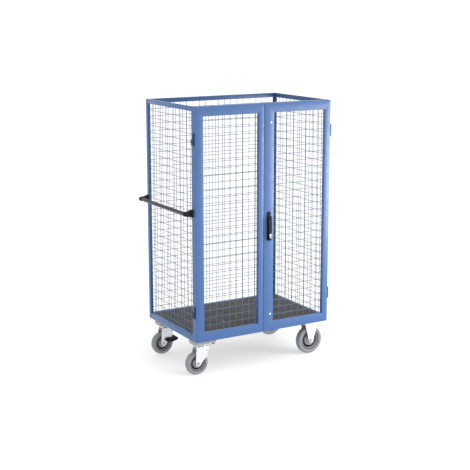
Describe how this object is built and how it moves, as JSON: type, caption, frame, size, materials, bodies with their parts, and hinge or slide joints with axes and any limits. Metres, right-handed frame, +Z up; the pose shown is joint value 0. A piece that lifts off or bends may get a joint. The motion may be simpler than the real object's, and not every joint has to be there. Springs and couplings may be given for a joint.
{
  "type": "mesh cabinet trolley",
  "caption": "Tall wire-mesh cage cabinet on castors with hinged mesh double doors, a swing-lever rod lock, a load floor, an open top and a push bar on one end.",
  "frame": {"origin": "on the ground, under the centre of the bounding box of the whole trolley", "axes": "+X to the right as seen from the doors, +Y from the doors to the back, +Z up"},
  "size_m": [1.1304, 0.7272, 1.8],
  "materials": {
    "blue_paint": "satin powder coat",
    "wire_paint": "satin powder coat on wire",
    "floor_board": "dark film-faced plywood",
    "zinc": "bright zinc plated",
    "bright_steel": "machined",
    "black_plastic": "fine grain",
    "white_plastic": "smooth",
    "grey_grip": "plastic-sleeved tube",
    "grey_rubber": "matt elastic tread",
    "grey_rim": "moulded",
    "grey_pad": "moulded"
  },
  "bodies": {
    "cage": {"base_rail_front": "blue_paint", "base_rail_left": "blue_paint", "base_rail_rear": "blue_paint", "base_rail_right": "blue_paint", "castor_front_left_pad": "grey_pad", "castor_front_left_plate": "zinc", "castor_front_right_fork": "zinc", "castor_rear_left_pad": "grey_pad", "castor_rear_left_plate": "zinc", "castor_rear_right_fork": "zinc", "cross_rail_left": "blue_paint", "cross_rail_right": "blue_paint", "handle_bar": "grey_grip", "handle_bracket_front": "black_plastic", "handle_bracket_rear": "black_plastic", "left_hinge_lower_post_half": "blue_paint", "left_hinge_upper_post_half": "blue_paint", "left_mesh": "wire_paint", "load_floor": "floor_board", "post_front_left": "blue_paint", "post_front_right": "blue_paint", "post_rear_left": "blue_paint", "post_rear_right": "blue_paint", "rear_mesh": "wire_paint", "right_hinge_lower_post_half": "blue_paint", "right_hinge_upper_post_half": "blue_paint", "right_mesh": "wire_paint", "top_rail_front": "blue_paint", "top_rail_left": "blue_paint", "top_rail_rear": "blue_paint", "top_rail_right": "blue_paint"},
    "left_door": {"left_door_frame": "blue_paint", "left_door_mesh": "wire_paint", "left_hinge_lower_door_half": "blue_paint", "left_hinge_upper_door_half": "blue_paint"},
    "right_door": {"right_door_frame": "blue_paint", "right_door_mesh": "wire_paint", "right_hinge_lower_door_half": "blue_paint", "right_hinge_upper_door_half": "blue_paint", "lock_plate": "black_plastic", "lock_case": "zinc", "rod_guide_upper": "white_plastic", "rod_guide_lower": "white_plastic"},
    "lock_spindle": {"lock_spindle": "bright_steel"},
    "lock_lever": {"lock_lever": "black_plastic", "lock_cylinder": "zinc"},
    "lock_plug": {"lock_plug": "bright_steel"},
    "lock_rod_upper": {"lock_rod_upper": "zinc"},
    "lock_rod_lower": {"lock_rod_lower": "zinc"},
    "castor_front_left_swivel": {"castor_front_left_fork": "zinc"},
    "castor_rear_left_swivel": {"castor_rear_left_fork": "zinc"},
    "castor_rear_left_brake": {"castor_rear_left_brake_pedal": "black_plastic"},
    "castor_front_left_wheel": {"castor_front_left_tyre": "grey_rubber", "castor_front_left_rim": "grey_rim"},
    "castor_front_right_wheel": {"castor_front_right_tyre": "grey_rubber", "castor_front_right_rim": "grey_rim"},
    "castor_rear_left_wheel": {"castor_rear_left_tyre": "grey_rubber", "castor_rear_left_rim": "grey_rim"},
    "castor_rear_right_wheel": {"castor_rear_right_tyre": "grey_rubber", "castor_rear_right_rim": "grey_rim"}
  },
  "joints": [
    {"name": "left_door_swing", "type": "hinge", "parent": "cage", "child": "left_door", "pos_m": [-0.50425, -0.33135, 0.253], "axis": [0, 0, -1], "range_deg": [0, 185]},
    {"name": "right_door_swing", "type": "hinge", "parent": "cage", "child": "right_door", "pos_m": [0.55075, -0.33135, 0.253], "axis": [0, 0, 1], "range_deg": [0, 255]},
    {"name": "lock_turn", "type": "hinge", "parent": "right_door", "child": "lock_spindle", "pos_m": [0.05675, -0.33635, 1.045], "axis": [0, -1, 0], "range_deg": [0, 90]},
    {"name": "lever_lift", "type": "hinge", "parent": "lock_spindle", "child": "lock_lever", "pos_m": [0.05675, -0.35285, 1.045], "axis": [-1, 0, 0], "range_deg": [0, 40]},
    {"name": "key_turn", "type": "hinge", "parent": "lock_lever", "child": "lock_plug", "pos_m": [0.05675, -0.35285, 0.926], "axis": [0, 1, 0], "range_deg": [0, 90]},
    {"name": "upper_rod_slide", "type": "slide", "parent": "right_door", "child": "lock_rod_upper", "axis": [0, 0, -1], "range_m": [0, 0.02]},
    {"name": "lower_rod_slide", "type": "slide", "parent": "right_door", "child": "lock_rod_lower", "axis": [0, 0, 1], "range_m": [0, 0.02]},
    {"name": "front_left_swivel", "type": "hinge", "parent": "cage", "child": "castor_front_left_swivel", "pos_m": [-0.40075, -0.22885, 0.1964], "axis": [0, 0, 1], "continuous": true},
    {"name": "rear_left_swivel", "type": "hinge", "parent": "cage", "child": "castor_rear_left_swivel", "pos_m": [-0.40075, 0.28315, 0.1964], "axis": [0, 0, 1], "continuous": true},
    {"name": "front_left_wheel_spin", "type": "hinge", "parent": "castor_front_left_swivel", "child": "castor_front_left_wheel", "pos_m": [-0.44075, -0.22885, 0.08], "axis": [0, 1, 0], "continuous": true},
    {"name": "front_right_wheel_spin", "type": "hinge", "parent": "cage", "child": "castor_front_right_wheel", "pos_m": [0.46525, -0.22885, 0.1], "axis": [0, 1, 0], "continuous": true},
    {"name": "rear_left_wheel_spin", "type": "hinge", "parent": "castor_rear_left_swivel", "child": "castor_rear_left_wheel", "pos_m": [-0.44075, 0.28315, 0.08], "axis": [0, 1, 0], "continuous": true},
    {"name": "rear_right_wheel_spin", "type": "hinge", "parent": "cage", "child": "castor_rear_right_wheel", "pos_m": [0.46525, 0.28315, 0.1], "axis": [0, 1, 0], "continuous": true},
    {"name": "rear_left_brake_press", "type": "hinge", "parent": "castor_rear_left_swivel", "child": "castor_rear_left_brake", "pos_m": [-0.42475, 0.28315, 0.114], "axis": [0, 1, 0], "range_deg": [-8, 8]}
  ],
  "couplings": [
    {"joint": "upper_rod_slide", "follows": "lock_turn", "m_per_rad": 0.012732},
    {"joint": "lower_rod_slide", "follows": "lock_turn", "m_per_rad": 0.012732}
  ]
}
